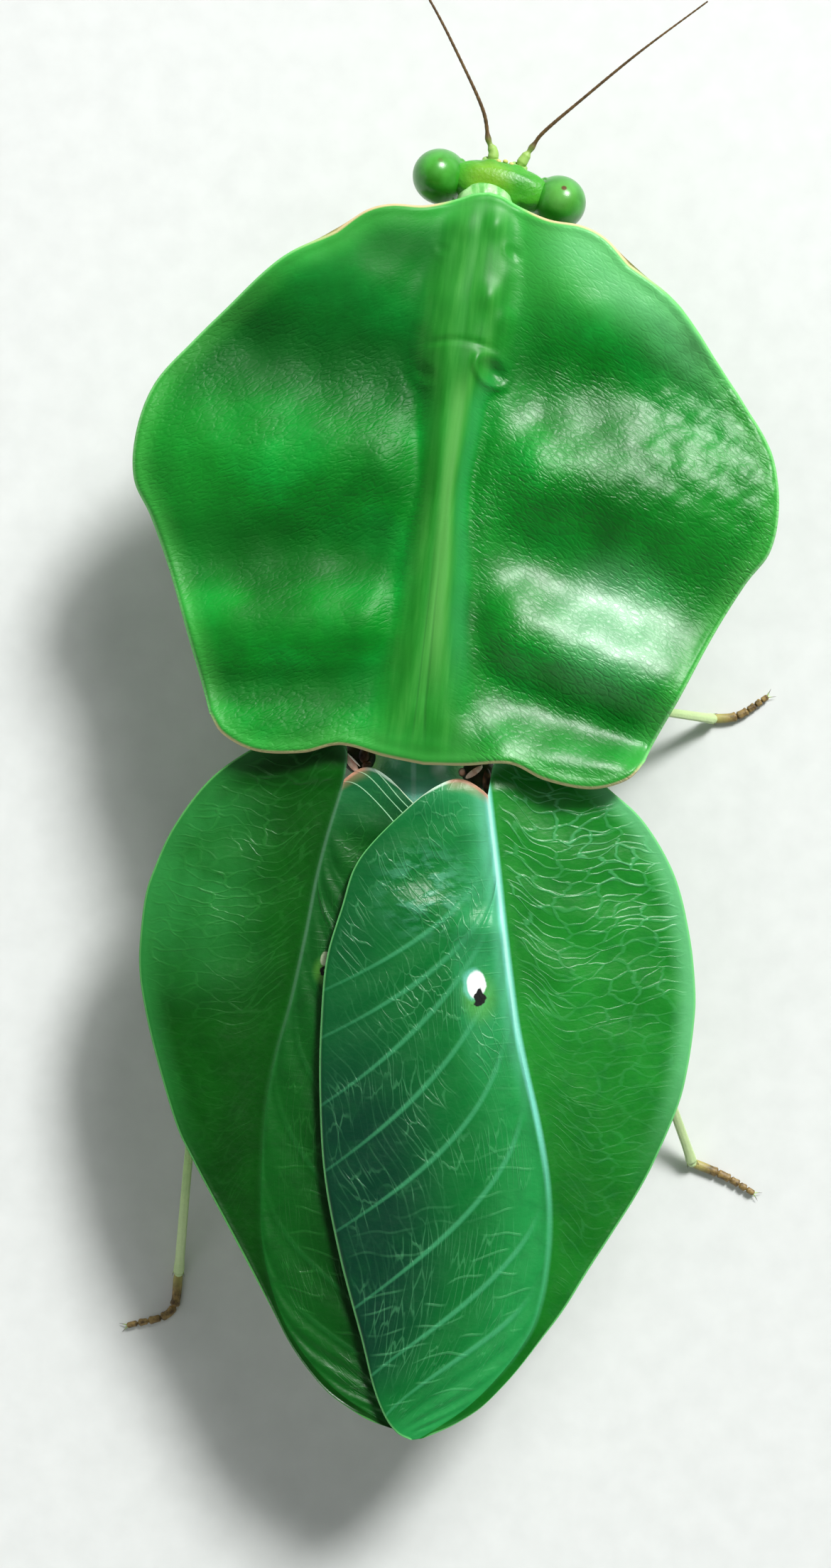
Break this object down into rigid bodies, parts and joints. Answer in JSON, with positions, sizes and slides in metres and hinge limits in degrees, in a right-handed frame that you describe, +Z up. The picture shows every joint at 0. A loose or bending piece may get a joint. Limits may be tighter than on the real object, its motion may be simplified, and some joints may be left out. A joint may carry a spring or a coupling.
{
  "type": "peruvian shield mantis, still life-size model",
  "caption": "Leaf-green mantis with a broad shield-shaped pronotum and leaf-like folded forewings, standing on its four walking legs, grasping legs folded under the shield",
  "frame": {"origin": "Centre of the bounding box at floor level, midway between the outermost points of feelers, wing tips and feet.", "axes": "+Y runs forward to the head along the wings' middle line, +X is the animal's right, +Z is up from the floor that the feet stand on."},
  "size_m": [0.0385, 0.0821, 0.0137],
  "materials": {
    "shield_green": "bright leaf green, finely wrinkled, glossy",
    "wing_green": "deep leaf green with pale veins, satin",
    "hindwing_pale": "pale blue-green membrane",
    "body_green": "pale green, satin",
    "head_green": "light green, satin",
    "eye_green": "pale green, glossy",
    "antenna_brown": "dark brown",
    "leg_green": "pale green, satin",
    "foot_tan": "tan brown with darker joints"
  },
  "bodies": {
    "root": {"shield": "shield_green", "prothorax": "body_green", "neck": "body_green", "head": "head_green", "mouthparts": "head_green", "labrum": "head_green", "palp_left": "head_green", "palp_right": "head_green", "eye_left": "eye_green", "eye_right": "eye_green", "antenna_left": "antenna_brown", "antenna_right": "antenna_brown", "thorax": "body_green", "abdomen": "body_green", "ovipositor": "foot_tan", "cercus_left": "body_green", "cercus_right": "body_green", "forewing_left": "wing_green", "forewing_right": "wing_green", "hindwing_left": "hindwing_pale", "hindwing_right": "hindwing_pale", "fore_coxa_left": "leg_green", "fore_femur_left": "leg_green", "fore_tibia_left": "leg_green", "fore_tarsus_left": "leg_green", "fore_coxa_right": "leg_green", "fore_femur_right": "leg_green", "fore_tibia_right": "leg_green", "fore_tarsus_right": "leg_green", "mid_coxa_left": "leg_green", "mid_femur_left": "leg_green", "mid_tibia_left": "leg_green", "mid_tarsus_left": "foot_tan", "mid_coxa_right": "leg_green", "mid_femur_right": "leg_green", "mid_tibia_right": "leg_green", "mid_tarsus_right": "foot_tan", "hind_coxa_left": "leg_green", "hind_femur_left": "leg_green", "hind_tibia_left": "leg_green", "hind_tarsus_left": "foot_tan", "hind_coxa_right": "leg_green", "hind_femur_right": "leg_green", "hind_tibia_right": "leg_green", "hind_tarsus_right": "foot_tan"}
  },
  "joints": []
}
